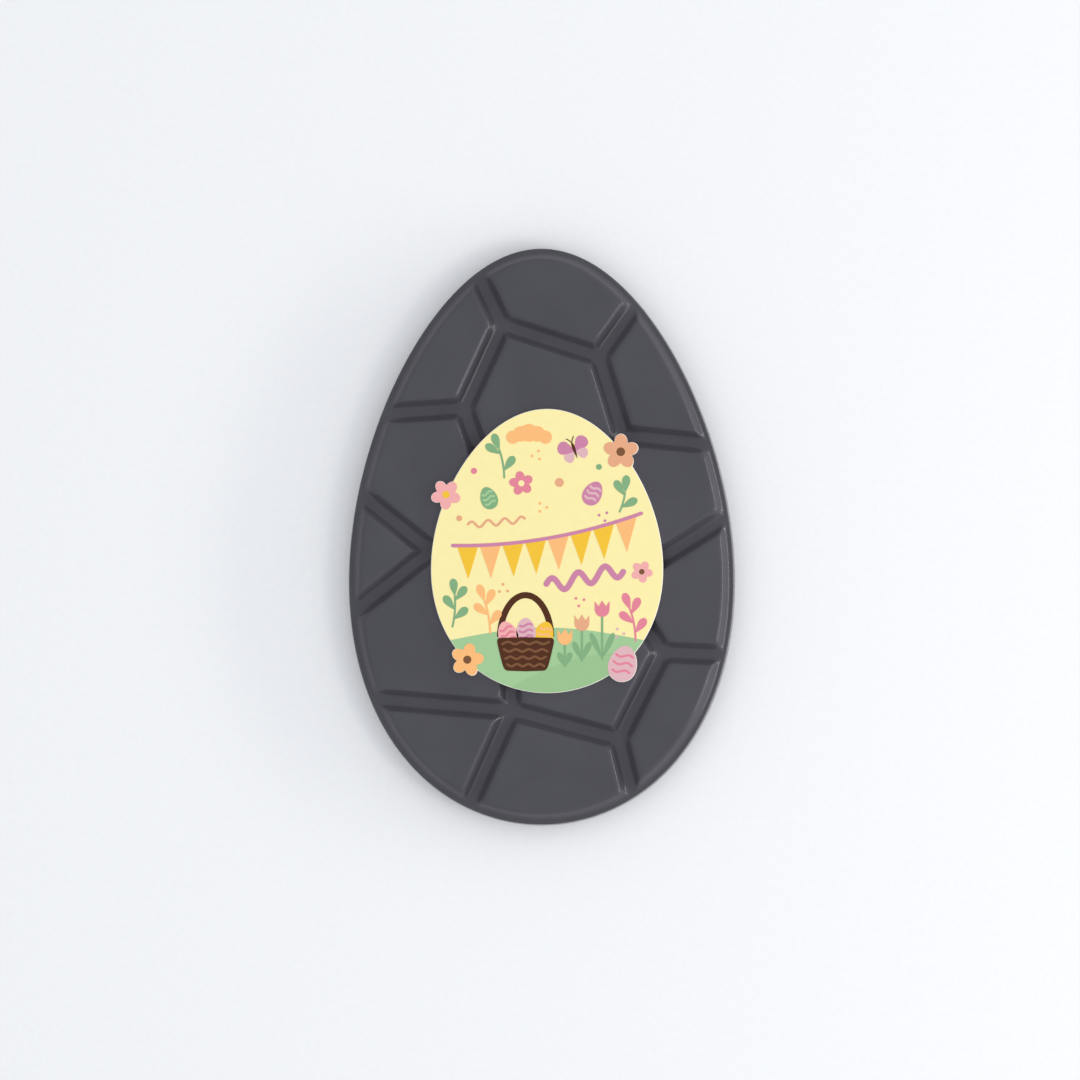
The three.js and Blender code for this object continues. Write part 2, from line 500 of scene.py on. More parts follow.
@dataclass(frozen=True)
class TemperedChocolate:
    """Dark chocolate that set in a polished plastic mould: a dark slate grey skin with an even, soft gloss.

    Its cool grey is partly the chocolate's own dark tone and partly a painted reflection: the colour is lighter
    and greyer than the brown, standing in for light reflected over it. It shows slight clouding a centimetre
    across, a fine satin grain, and a few pinholes of trapped air.
    """

    # Base tone: partly the chocolate's own dark colour, partly a painted reflection that lightens it to a cool
    # slate grey.
    base: str = "454348"
    lighter: str = "49474C"
    cloud_mm: float = 14.0
    cloud_spread: float = 0.15
    ripple_mm: float = 6.0
    ripple_octaves: float = 5.0
    roughness: tuple[float, float] = (0.17, 0.24)
    grain_mm: float = 0.7
    grain_depth_mm: float = 0.03
    grain_strength: float = 0.12
    pinhole_spacing_mm: float = 7.0
    pinhole_radius_mm: float = 0.16
    pinhole_floor: float = 0.4
    pinhole_depth_mm: float = 0.1
    pinhole_strength: float = 0.8
    pinhole_share: float = 0.3
    ior: float = 1.5
    specular: float = 0.26

    def material(self) -> bpy.types.Material:
        """Builds the material: a pinhole lies at the middle of some of the cells of a Voronoi pattern.

        Returns:
            The finished material.
        """
        material, tree, place = new_material("tempered_chocolate")
        tones = linear_colour(self.base), linear_colour(self.lighter)
        roughness = soft_lumps(tree, place, self.ripple_mm, self.roughness, octaves=self.ripple_octaves)
        scale = 1.0 / (self.pinhole_spacing_mm * MM)
        edge = self.pinhole_radius_mm / self.pinhole_spacing_mm
        cell = add_node(tree, "ShaderNodeTexVoronoi", {"Vector": place, "Scale": scale}).outputs
        span = {"From Min": self.pinhole_floor * edge, "From Max": edge, "To Min": 1.0, "To Max": 0.0}
        pit = add_node(tree, "ShaderNodeMapRange", {"Value": cell["Distance"]} | span).outputs["Result"]
        draw = add_node(tree, "ShaderNodeSeparateColor", {"Color": cell["Color"]}).outputs["Red"]
        limit = {0: draw, 1: self.pinhole_share}
        chosen = add_node(tree, "ShaderNodeMath", limit, operation="LESS_THAN").outputs[0]
        pinhole = add_node(tree, "ShaderNodeMath", {0: pit, 1: chosen}, operation="MULTIPLY").outputs[0]
        bump = {
            "Height": pinhole,
            "Strength": self.pinhole_strength,
            "Distance": self.pinhole_depth_mm * MM,
            "Normal": grained(tree, place, self.grain_mm, self.grain_depth_mm, self.grain_strength),
        }
        inputs = {
            "Base Color": mottled(tree, place, self.cloud_mm, tones, self.cloud_spread),
            "Roughness": roughness,
            "IOR": self.ior,
            "Specular IOR Level": self.specular,
            "Normal": add_node(tree, "ShaderNodeBump", bump, invert=True).outputs["Normal"],
        }
        finish_surface(tree, inputs)
        return material


@dataclass(frozen=True)
class SugarIcing:
    """Rolled sugar icing, dried flat, and food ink on it: matt, softly mottled, with a fine sugar grain."""

    name: str = "sugar_icing"
    colour: str = "F6F1E4"
    mottle_mm: float = 2.5
    mottle: float = 0.024
    grain_mm: float = 0.45
    grain_depth_mm: float = 0.04
    grain_strength: float = 0.2
    roughness: float = 0.62
    ior: float = 1.48
    specular: float = 0.25

    def material(self) -> bpy.types.Material:
        """Builds the material.

        Returns:
            The finished material.
        """
        material, tree, place = new_material(self.name)
        tones = linear_colour(self.colour), linear_colour(self.colour, 1.0 - self.mottle)
        inputs = {
            "Base Color": mottled(tree, place, self.mottle_mm, tones),
            "Roughness": self.roughness,
            "IOR": self.ior,
            "Specular IOR Level": self.specular,
            "Normal": grained(tree, place, self.grain_mm, self.grain_depth_mm, self.grain_strength),
        }
        finish_surface(tree, inputs)
        return material


@dataclass(frozen=True)
class PaperSweep:
    """Pale matt paper under the egg, faintly uneven."""

    colour: str = "F1F0ED"
    fibre_mm: float = 1.5
    mottle: float = 0.02
    roughness: float = 0.9

    def material(self) -> bpy.types.Material:
        """Builds the material.

        Returns:
            The finished material.
        """
        material, tree, place = new_material("paper_sweep")
        tones = linear_colour(self.colour), linear_colour(self.colour, 1.0 - self.mottle)
        colour = mottled(tree, place, self.fibre_mm, tones)
        finish_surface(tree, {"Base Color": colour, "Roughness": self.roughness})
        return material


class Ink(Enum):
    """Food colours of the print, each with its sRGB hex value."""

    CREAM = "FAEAA5"
    MEADOW = "A1C690"
    HILL = "99BE88"
    LEAF = "81AB7A"
    BROWN = "4D2403"
    WICKER = "7A4F2F"
    GOLD = "F3C030"
    ORANGE = "FAB974"
    SALMON = "E6A77E"
    PINK = "F1ABA6"
    MAGENTA = "E38292"
    MAUVE = "CB819F"
    BLUSH = "DFB2B4"


# The chocolate


@dataclass(frozen=True)
class GrooveLayout:
    """Where the grooves of the relief run, in millimetres from the middle of the egg.

    Junctions are where grooves meet. An exit is a point past the rim towards which a groove runs out. A cell
    is named by its corners in order, and between two exits it follows the rim.
    """

    junctions: dict[str, Place] = field(
        default_factory=lambda: {
            "crown_left": (-10.1, 54.6),
            "crown_right": (14.9, 46.4),
            "shoulder_left": (-20.0, 33.0),
            "shoulder_right": (21.2, 26.0),
            "heart_top_left": (-13.3, 14.8),
            "heart_top_right": (14.6, 13.8),
            "waist_left": (-28.4, -3.8),
            "heart_left": (-23.4, -3.6),
            "heart_right": (20.0, -12.6),
            "hip_right": (31.3, -30.0),
            "heart_bottom": (-7.8, -30.7),
            "foot_left": (-7.7, -45.0),
            "foot_right": (20.0, -52.3),
        }
    )
    exits: dict[str, tuple[str, Place]] = field(
        default_factory=lambda: {
            "crown_left_exit": ("crown_left", (-16.6, 68.0)),
            "crown_right_exit": ("crown_right", (27.0, 63.4)),
            "shoulder_left_exit": ("shoulder_left", (-45.6, 31.3)),
            "shoulder_right_exit": ("shoulder_right", (49.1, 23.1)),
            "waist_upper_exit": ("waist_left", (-51.6, 14.6)),
            "waist_lower_exit": ("waist_left", (-53.3, -23.4)),
            "heart_right_exit": ("heart_right", (53.5, 8.4)),
            "hip_right_exit": ("hip_right", (51.5, -30.9)),
            "foot_far_left_exit": ("foot_left", (-50.7, -41.4)),
            "foot_left_exit": ("foot_left", (-21.5, -75.9)),
            "foot_right_exit": ("foot_right", (25.4, -74.2)),
        }
    )
    cells: tuple[tuple[str, ...], ...] = (
        ("crown_left", "crown_left_exit", "crown_right_exit", "crown_right"),
        ("shoulder_left", "shoulder_left_exit", "crown_left_exit", "crown_left"),
        ("crown_left", "crown_right", "shoulder_right", "heart_top_right", "heart_top_left", "shoulder_left"),
        ("crown_right", "crown_right_exit", "shoulder_right_exit", "shoulder_right"),
        (
            "waist_left",
            "waist_upper_exit",
            "shoulder_left_exit",
            "shoulder_left",
            "heart_top_left",
            "heart_left",
        ),
        ("waist_left", "waist_lower_exit", "waist_upper_exit"),
        ("waist_left", "heart_left", "heart_bottom", "foot_left", "foot_far_left_exit", "waist_lower_exit"),
        ("heart_top_left", "heart_top_right", "heart_right", "heart_bottom", "heart_left"),
        ("shoulder_right", "shoulder_right_exit", "heart_right_exit", "heart_right", "heart_top_right"),
        ("heart_right", "heart_right_exit", "hip_right_exit", "hip_right"),
        ("hip_right", "hip_right_exit", "foot_right_exit", "foot_right"),
        ("heart_right", "hip_right", "foot_right", "foot_left", "heart_bottom"),
        ("foot_right", "foot_right_exit", "foot_left_exit", "foot_left"),
        ("foot_left", "foot_left_exit", "foot_far_left_exit"),
    )


@dataclass
class ChocolateEgg:
    """The moulded egg: drafted wall, ledge, raised cells with grooves between them, and a poured back."""

    # The outline and the levels above the back.
    length: float = 150.0
    width: float = 100.5
    taper: float = EGG_TAPER
    ledge_height: float = 6.5
    cell_height: float = 9.0
    # Insets from the outline: the wall's foot and head, the ledge, and the cells' slope.
    skin_gap: float = 0.02
    back_edge_round: float = 0.5
    wall_draft: float = 0.6
    shoulder_round: float = 0.4
    ledge_seam: float = 1.4
    ledge_inner: float = 1.9
    slope_top: float = 3.6
    # A groove's section, measured from its middle, and how tightly the cells' corners are rounded.
    groove_floor: float = 1.2
    groove_top: float = 3.1
    foot_round: float = 0.9
    lip_round: float = 0.8
    corner_sharpness: float = 3.0
    # The unevenness that cooling leaves: sunk tops, a dished back, and waves over both.
    cell_sag: float = 0.05
    back_dish: float = 0.18
    dish_run: float = 3.0
    ripple_share: float = 0.25
    wave_count: int = 4
    wave_lengths: tuple[float, float] = (14.0, 34.0)
    wave_seed: int = 11
    # Fineness of the surface.
    column_step: float = 0.9
    fewest_columns: int = 6
    end_crowding: float = 0.75
    ray_samples: int = 600
    wall_rings: tuple[float, ...] = (0.4, 0.6, 0.8)
    top_rings: int = 8
    groove_steps: int = 6
    rim_steps: int = 8
    back_rings: int = 25
    back_crowding: float = 1.4
    exit_samples: int = 7200
    centre_samples: int = 30
    layout: GrooveLayout = field(default_factory=GrooveLayout)
    finish: TemperedChocolate = field(default_factory=TemperedChocolate)

    def __post_init__(self) -> None:
        """Works out the outline, the groove's section and where the grooves cross the ledge."""
        self.outline = EggOutline.of_size(self.length, self.width, self.taper)
        section = [
            (0.0, self.ledge_height, 0.0),
            (self.groove_floor, self.ledge_height, self.foot_round),
            (self.groove_top, self.cell_height, self.lip_round),
            (self.groove_top + 2.0 * self.lip_round, self.cell_height, 0.0),
        ]
        self.section = rounded_profile(section, self.groove_steps)
        # A depth in from the rim and the same place on a groove's section, with both ends drawn out far.
        out, into = 10.0, 60.0
        self.rim_depths = [-out, self.ledge_seam, self.ledge_inner, self.slope_top, self.slope_top + into]
        self.rim_places = [-out, 0.0, self.groove_floor, self.groove_top, self.groove_top + into]
        self.exit_angles = {name: self._exit_angle(*ends) for name, ends in self.layout.exits.items()}
        self.corners = {name: np.array(place) for name, place in self.layout.junctions.items()}
        for name, angle in self.exit_angles.items():
            self.corners[name] = self.outline.points(np.array(angle), self.ledge_seam)

    def _exit_angle(self, junction: str, towards: Place) -> float:
        """Finds where a groove crosses the middle of the ledge.

        Args:
            junction: Name of the junction that the groove leaves.
            towards: Point that it heads for.

        Returns:
            The outline's angle at the crossing.
        """
        start = np.array(self.layout.junctions[junction])
        heading = np.array(towards) - start
        angles = round_angles(self.exit_samples) - math.pi
        offset = self.outline.points(angles, self.ledge_seam) - start
        aside = np.abs(offset[:, 0] * heading[1] - offset[:, 1] * heading[0])
        return float(angles[np.argmin(np.where(offset @ heading > 0.0, aside, np.inf))])

    def _on_rim(self, first: str, second: str) -> bool:
        """Tells whether a cell's edge follows the rim, from exit to exit."""
        return first in self.exit_angles and second in self.exit_angles

    def _crowded_shares(self, length: float) -> np.ndarray:
        """Spreads samples over an edge, closer together near its ends, where cell corners are rounded."""
        even = shares(max(self.fewest_columns, math.ceil(length / self.column_step)) + 1)
        return even - self.end_crowding * np.sin(FULL_TURN * even) / FULL_TURN

    def _arc_angles(self, start: float, end: float) -> np.ndarray:
        """Gives the angles of the rim between two exits, the short way round.

        Args:
            start: Angle of the first exit.
            end: Angle of the second exit.

        Returns:
            Angles from the first to the second, without the last one.
        """
        span = (end - start + math.pi) % FULL_TURN - math.pi
        length = abs(span) * (self.outline.half_length + self.outline.half_width) / 2.0
        return start + span * self._crowded_shares(length)[:-1]

    def _edge(self, first: str, second: str) -> np.ndarray:
        """Gives the samples of a cell's edge, the same for both cells that share it.

        Args:
            first: Name of the corner that the edge leaves.
            second: Name of the corner that it reaches.

        Returns:
            Points without the last one.
        """
        if self._on_rim(first, second):
            angles = self._arc_angles(self.exit_angles[first], self.exit_angles[second])
            return self.outline.points(angles, self.ledge_seam)
        low, high = sorted((first, second))
        start, end = self.corners[low], self.corners[high]
        share = self._crowded_shares(float(np.linalg.norm(end - start)))[:, None]
        samples = start + (end - start) * share
        return samples[:-1] if first == low else samples[:0:-1]

    def _climb(self, points: np.ndarray, cell: tuple[str, ...], inside: np.ndarray) -> np.ndarray:
        """Measures how far points have climbed the section of the nearest groove or of the rim.

        The distances to the grooves and the rim's depth, put in the groove's terms, are joined by a smooth
        minimum: minus the logarithm of the sum of their negative exponentials. That rounds the cell corners.

        Args:
            points: Points with x and y in the last axis.
            cell: Names of the cell's corners.
            inside: A point inside the cell.

        Returns:
            Place on the groove's section, 0 at the groove's middle.
        """
        climbs = []
        for first, second in ring_pairs(cell):
            if self._on_rim(first, second):
                climbs.append(np.interp(self.outline.depth(points), self.rim_depths, self.rim_places))
                continue
            start, along = self.corners[first], unit(self.corners[second] - self.corners[first])
            normal = np.array([-along[1], along[0]])
            climbs.append((points - start) @ normal * np.sign((inside - start) @ normal))
        total = np.exp(-self.corner_sharpness * np.stack(climbs)).sum(0)
        return -np.log(total) / self.corner_sharpness

    def _cell_grid(self, cell: tuple[str, ...]) -> np.ndarray:
        """Works out one cell as rings from the middle of its grooves to the middle of its top.

        Each column runs straight from the cell's edge to its deepest point. Each ring is where the climb
        reaches one place of the section, which gives its height. The top then closes in even steps.

        Args:
            cell: Names of the cell's corners.

        Returns:
            Points of shape (columns of the edge, rings, 3).
        """
        edge = clockwise(np.concatenate([self._edge(*pair) for pair in ring_pairs(cell)]))[::-1]
        centroid = edge.mean(0)
        spread = shares(self.centre_samples)[None, :, None]
        candidates = (centroid + (edge[:, None] - centroid) * spread).reshape(-1, 2)
        deepest = candidates[np.argmax(self._climb(candidates, cell, centroid))]

        inwards = deepest - edge[:, None]
        climb = self._climb(edge[:, None] + inwards * shares(self.ray_samples)[None, :, None], cell, deepest)
        wall = self.groove_floor + (self.groove_top - self.groove_floor) * np.array(self.wall_rings)
        levels = np.unique(np.concatenate([self.section[1:, 0], wall]))
        below = (climb[:, :, None] < levels).sum(1).clip(1, self.ray_samples - 1)
        column = np.arange(len(edge))[:, None]
        low, high = climb[column, below - 1], climb[column, below]
        part = np.clip((levels - low) / np.maximum(high - low, 1e-9), 0.0, 1.0)
        rings = edge[:, None] + inwards * ((below - 1 + part) / (self.ray_samples - 1))[..., None]
        heights = np.interp(levels, self.section[:, 0], self.section[:, 1])

        inner = shares(self.top_rings + 1)[1:, None]
        top = raised(rings[:, -1:] * (1.0 - inner) + deepest * inner, self.cell_height)
        foot = raised(edge, self.ledge_height)[:, None]
        grid = np.concatenate([foot, raised(rings, heights[None, :]), top], axis=1)
        rise = (grid[..., 2] - self.ledge_height) / (self.cell_height - self.ledge_height)
        grid[..., 2] -= self.cell_sag * rise**4 * (0.5 + 0.5 * self._waves(grid))
        return grid

    def _waves(self, points: np.ndarray) -> np.ndarray:
        """Gives a gentle unevenness from -1 to 1: the mean of a few sine waves that cross the egg.

        Args:
            points: Points with x and y first in the last axis.

        Returns:
            The unevenness at each point.
        """
        random = np.random.default_rng(self.wave_seed)
        heading = random.uniform(0.0, FULL_TURN, self.wave_count)
        length = random.uniform(*self.wave_lengths, self.wave_count)
        phase = random.uniform(0.0, FULL_TURN, self.wave_count)
        along = points[..., 0, None] * np.cos(heading) + points[..., 1, None] * np.sin(heading)
        return np.sin(FULL_TURN * along / length + phase).mean(-1)

    def _rim_grid(self) -> np.ndarray:
        """Works out the rim and the back as one surface, from the ledge over the wall to the back's middle.

        Each column follows the rounded profile inwards from the outline, by its insets and heights. Past the
        back's edge the rings close on the middle, slightly dished and rippled, as poured chocolate sets.

        Returns:
            Points of shape (angles, rings, 3).
        """
        runs = [self._arc_angles(*pair) for pair in ring_pairs(sorted(self.exit_angles.values()))]
        angles = np.concatenate(runs)[:, None]
        back_edge = 2.0 * self.back_edge_round
        corners = [
            (self.ledge_seam, self.ledge_height, 0.0),
            (self.wall_draft, self.ledge_height, self.shoulder_round),
            (self.skin_gap, 0.0, self.back_edge_round),
            (back_edge, 0.0, 0.0),
        ]
        profile = rounded_profile(corners, self.rim_steps)[None]
        rim = raised(self.outline.points(angles, profile[..., 0]), profile[..., 1])
        flat = rim[:, -1:, :2] * (1.0 - shares(self.back_rings + 1)[1:, None] ** self.back_crowding)
        depth = np.maximum(self.outline.depth(flat) - back_edge, 0.0)
        settle = 1.0 - np.exp(-((depth / self.dish_run) ** 2))
        lift = self.back_dish * settle * (1.0 - self.ripple_share + self.ripple_share * self._waves(flat))
        return np.concatenate([rim, raised(flat, lift)], axis=1)

    def build(self) -> bpy.types.Object:
        """Builds and dresses the chocolate.

        Returns:
            The finished piece.
        """
        surface = SurfaceMesh()
        for cell in self.layout.cells:
            surface.add_grid(self._cell_grid(cell), close_rows=True)
        surface.add_grid(self._rim_grid(), close_rows=True)
        piece = surface.to_object("chocolate_relief", smooth=True)
        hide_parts("chocolate_egg")
        return dress(piece, self.finish.material())


# The icing plaque


@dataclass(frozen=True)
class FlowerShape:
    """Five-petalled flower: its reach swells from the waist to the full radius with each petal."""

    place: Place
    radius: float
    turn: float
    petals: int = 5
    waist: float = 0.62

    def points(self, inset: float = 0.0) -> np.ndarray:
        """Gives the flower's outline.

        Args:
            inset: How much smaller it is at its petals' tips.

        Returns:
            Outline points.
        """
        angle = round_angles(MOTIF_POINTS)
        swell = np.abs(np.cos(self.petals * angle / 2.0))
        reach = (self.radius - inset) * (self.waist + (1.0 - self.waist) * swell)
        return turned(joined(reach * np.cos(angle), reach * np.sin(angle)), self.turn, self.place)


@dataclass(frozen=True)
class SmallEgg:
    """A small egg of the print, with the same kind of outline as the big one."""

    place: Place
    half_width: float
    half_length: float
    turn: float

    def points(self, inset: float = 0.0) -> np.ndarray:
        """Gives the egg's outline.

        Args:
            inset: How much smaller it is at its ends.

        Returns:
            Outline points.
        """
        scale = 1.0 - inset / self.half_length
        outline = EggOutline(self.half_length * scale, self.half_width * scale, EGG_TAPER)
        return turned(outline.points(round_angles(MOTIF_POINTS)), self.turn, self.place)


@dataclass
class IcingPlaque:
    """Thin egg-shaped sheet of sugar icing, with the ornaments that overhang its edge cut out with it."""

    base: float
    top: float
    length: float = 73.2
    width: float = 59.8
    taper: float = 0.13
    centre: Place = (1.6, -3.9)
    edge_round: float = 0.3
    edge_steps: int = 5
    edge_samples: int = 720
    crease_degrees: float = 40.0
    flowers: tuple[FlowerShape, ...] = (
        FlowerShape((19.0, 25.5), 4.7, 0.3),
        FlowerShape((-26.0, 14.5), 4.0, 0.9),
        FlowerShape((-20.5, -28.0), 4.4, 0.1),
    )
    egg: SmallEgg = SmallEgg((19.5, -29.0), 3.7, 4.8, -0.25)
    finish: SugarIcing = field(default_factory=SugarIcing)

    def __post_init__(self) -> None:
        """Works out the sheet's own egg curve."""
        self.outline = EggOutline.of_size(self.length, self.width, self.taper)

    def edge(self, inset: float = 0.0) -> np.ndarray:
        """Gives the sheet's outline: the egg curve, and where an ornament reaches past it, the ornament's.

        Args:
            inset: Distance inwards.

        Returns:
            Outline points in clockwise order, in the sheet's own frame.
        """
        line = self.outline.points(round_angles(self.edge_samples), inset)
        for ornament in (*self.flowers, self.egg):
            shape = clockwise(ornament.points(inset))
            line = np.concatenate([run_outside(line, shape), run_outside(shape, line)])
        return line

    def build(self) -> bpy.types.Object:
        """Builds and dresses the sheet: its edge is a quarter round carried along the outline.

        Returns:
            The finished piece.
        """
        edge = self.edge() + np.array(self.centre)
        along = unit(np.roll(edge, -1, axis=0) - np.roll(edge, 1, axis=0))
        inwards = joined(along[:, 1], -along[:, 0])
        lean = math.pi / 2.0 * shares(self.edge_steps)
        insets = np.concatenate([[0.0], self.edge_round * (1.0 - np.cos(lean))])
        heights = np.concatenate([[self.base], self.top - self.edge_round * (1.0 - np.sin(lean))])
        rings = edge[:, None] + inwards[:, None] * insets[None, :, None]
        surface = SurfaceMesh()
        surface.add_grid(raised(rings, heights[None, :])[:, ::-1], close_rows=True)
        surface.add_cap(rings[:, -1], self.top, facing_up=True)
        surface.add_cap(edge, self.base, facing_up=False)
        piece = surface.to_object("icing_sheet", smooth=True)
        piece.data.set_sharp_from_angle(angle=math.radians(self.crease_degrees))
        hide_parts("icing_plaque")
        return dress(piece, self.finish.material())


# The print


class Layer(Enum):
    """Order in which the inks lie on the sheet, as a number of ink thicknesses."""

    GROUND = 1
    FIELD = 2
    HILL = 3
    STEM = 4
    FIGURE = 5
    DETAIL = 6
    ACCENT = 7
    TOP = 8


@dataclass
class PlaquePrint:
    """Spring picture in food colours: meadow, basket of eggs, pennants on a string, flowers and sprigs."""

    plaque: IcingPlaque
    ink_step: float = 0.0135
    hair_step: float = 0.0005
    hair_steps: int = 8
    sunk: float = 0.05
    border: float = 0.15
    ink_roughness: float = 0.55
    dot_points: int = 20
    leaf_points: int = 24
    leaf_size: tuple[float, float] = (4.6, 1.05)
    leaf_lean: float = 0.72
    leaf_run: tuple[float, float] = (0.28, 0.84)
    stem_points: int = 40
    stem_half_width: float = 0.26
    stem_bend: float = 0.35
    thin_line: float = 0.3
    printed: int = 0

    def __post_init__(self) -> None:
        """Starts one empty surface for each ink."""
        self.sheets = {ink: SurfaceMesh() for ink in Ink}

    @classmethod
    def room(cls) -> float:
        """Gives the height that the inks take up above the sheet."""
        return max(layer.value for layer in Layer) * cls.ink_step + cls.hair_steps * cls.hair_step

    def _heights(self, layer: Layer) -> tuple[float, float]:
        """Gives the lowest and highest level of the next figure in a layer.

        Figures printed one after another differ by a hair, so that none of them share a face.

        Args:
            layer: The layer.

        Returns:
            The two levels.
        """
        self.printed += 1
        hair = (self.printed % self.hair_steps) * self.hair_step
        return self.plaque.top - self.sunk - hair, self.plaque.top + layer.value * self.ink_step + hair

    def patch(self, ink: Ink, layer: Layer, outline: np.ndarray) -> None:
        """Prints a filled outline that can be seen whole from its middle.

        The surface runs from the middle of the top out to the outline, down its side and back below.

        Args:
            ink: The colour.
            layer: The layer.
            outline: Outline points in the sheet's frame.
        """
        low, high = self._heights(layer)
        ring = clockwise(outline) + np.array(self.plaque.centre)
        middle = np.broadcast_to(ring.mean(0), ring.shape)
        rings = [raised(middle, high), raised(ring, high), raised(ring, low), raised(middle, low)]
        self.sheets[ink].add_grid(np.stack(rings, axis=1), close_rows=True)

    def band(self, ink: Ink, layer: Layer, left: np.ndarray, right: np.ndarray) -> None:
        """Prints the strip between two lines: a flat four-sided section is carried along them.

        Args:
            ink: The colour.
            layer: The layer.
            left: Points of the line on the left, in the sheet's frame.
            right: Points of the line on the right at the same shares. The two lines meet at both ends.
        """
        low, high = self._heights(layer)
        shift = np.array(self.plaque.centre)
        sides = [(right, low), (right, high), (left, high), (left, low)]
        grid = np.stack([raised(side + shift, height) for side, height in sides], axis=1)
        self.sheets[ink].add_grid(grid, close_columns=True)

    def stroke(self, ink: Ink, layer: Layer, path: np.ndarray, half_width: np.ndarray) -> None:
        """Prints a stroke along a path.

        Args:
            ink: The colour.
            layer: The layer.
            path: Points along the stroke in the sheet's frame.
            half_width: Half the width at each point, 0 at both ends.
        """
        along = unit(np.gradient(path, axis=0))
        aside = joined(-along[:, 1], along[:, 0]) * half_width[:, None]
        self.band(ink, layer, path + aside, path - aside)

    def line(self, ink: Ink, layer: Layer, path: np.ndarray, half_width: float) -> None:
        """Prints a line of even width with round ends.

        Args:
            ink: The colour.
            layer: The layer.
            path: Points along the line.
            half_width: Half its width.
        """
        run = np.concatenate([[0.0], np.cumsum(np.linalg.norm(np.diff(path, axis=0), axis=1))])
        inner = np.clip(1.0 - np.minimum(run, run[-1] - run) / half_width, 0.0, 1.0)
        self.stroke(ink, layer, path, half_width * np.sqrt(1.0 - inner**2))

    def dot(self, ink: Ink, layer: Layer, place: Place, radius: float) -> None:
        """Prints a round dot."""
        angle = round_angles(self.dot_points)
        self.patch(ink, layer, radius * joined(np.cos(angle), np.sin(angle)) + np.array(place))

    def leaf(
        self, ink: Ink, layer: Layer, root: Place | np.ndarray, heading: float, size: tuple[float, float]
    ) -> None:
        """Prints a leaf or petal: a straight stroke, slim at its foot and fullest towards its round tip.

        Args:
            ink: The colour.
            layer: The layer.
            root: Where it starts.
            heading: Its direction in radians.
            size: Its length and half its greatest width.
        """
        length, half_width = size
        share = 0.5 - 0.5 * np.cos(math.pi * shares(self.leaf_points))
        swell = np.sqrt(np.clip(np.sin(math.pi * share**1.5), 0.0, 1.0)) * (0.35 + 0.65 * share**0.5)
        swell[[0, -1]] = 0.0
        path = turned(joined(share * length, 0.0), heading, root)
        self.stroke(ink, layer, path, half_width * swell / swell.max())

    def sprig(self, ink: Ink, root: Place, heading: float, length: float, leaves: int) -> None:
        """Prints a sprig: a bent stem with leaves to its left and right in turn, and one at its tip.

        Args:
            ink: The colour.
            root: Foot of the stem.
            heading: Direction of the stem at its middle.
            length: Length of the stem.
            leaves: Number of leaves at its sides, two or more.
        """
        last = self.stem_points - 1
        angle = heading + self.stem_bend * (shares(self.stem_points) - 0.5)
        step = joined(np.cos(angle), np.sin(angle)) * length / last
        stem = np.array(root) + np.concatenate([[[0.0, 0.0]], np.cumsum(step[:-1], axis=0)])
        self.line(ink, Layer.STEM, stem, self.stem_half_width)
        lowest, highest = self.leaf_run
        for k in range(leaves):
            node = int((lowest + (highest - lowest) * k / (leaves - 1)) * last)
            lean = self.leaf_lean if k % 2 else -self.leaf_lean
            self.leaf(ink, Layer.FIGURE, stem[node], angle[node] + lean, self.leaf_size)
        self.leaf(ink, Layer.FIGURE, stem[-3], angle[-1], self.leaf_size)

    def flower(self, petals: Ink, middle: Ink, shape: FlowerShape) -> None:
        """Prints a flower with a round middle."""
        self.patch(petals, Layer.FIGURE, shape.points(self.border))
        self.dot(middle, Layer.DETAIL, shape.place, 0.24 * shape.radius)

    def striped_egg(self, shell: Ink, stripe: Ink, egg: SmallEgg) -> None:
        """Prints a small egg with wavy stripes across it: each is a sine curve over the egg's width there.

        Args:
            shell: Colour of the egg.
            stripe: Colour of the stripes.
            egg: The egg's outline.
        """
        self.patch(shell, Layer.FIGURE, egg.points(self.border))
        stripe_heights, margin, wave = (-0.42, 0.0, 0.42), 0.74, 0.09
        for height in stripe_heights:
            x = margin * math.sqrt(1.0 - height**2) * egg.half_width * (2.0 * shares(30) - 1.0)
            y = egg.half_length * (height + wave * np.sin(5.0 * x / egg.half_width))
            self.line(stripe, Layer.DETAIL, turned(joined(x, y), egg.turn, egg.place), self.thin_line)

    def ground(self) -> None:
        """Prints the cream ground out to a thin bare border."""
        low, high = self._heights(Layer.GROUND)
        edge = self.plaque.edge(self.border) + np.array(self.plaque.centre)
        sheet = self.sheets[Ink.CREAM]
        sheet.add_grid(np.stack([raised(edge, high), raised(edge, low)], axis=1), close_rows=True)
        sheet.add_cap(edge, high, facing_up=True)
        sheet.add_cap(edge, low, facing_up=False)

    def meadow(self) -> None:
        """Prints two hills at the wide end: each lies between the sheet's edge and a raised sine curve."""
        # Ink, layer, the edge's angles in degrees where the hill begins and ends, and the crest's height.
        hills = (
            (Ink.MEADOW, Layer.FIELD, 231.0, 129.0, 3.2),
            (Ink.HILL, Layer.HILL, 196.0, 136.0, 2.6),
        )
        share = shares(120)
        for ink, layer, first, last, crest in hills:
            foot = self.plaque.outline.points(np.radians(first + (last - first) * share), self.border)
            straight = foot[0] + (foot[-1] - foot[0]) * share[:, None]
            self.band(ink, layer, straight + joined(0.0, crest * np.sin(math.pi * share)), foot)

    def basket(self) -> None:
        """Prints a wicker basket of eggs: a bowed tub, its handle and lighter strands."""
        foot, rim, middle = -31.0, -22.2, -5.5
        handle = math.pi * (1.0 - shares(60))
        arch = joined(middle + 6.6 * np.cos(handle), rim - 0.4 + 11.2 * np.sin(handle))
        self.line(Ink.BROWN, Layer.STEM, arch, 0.8)
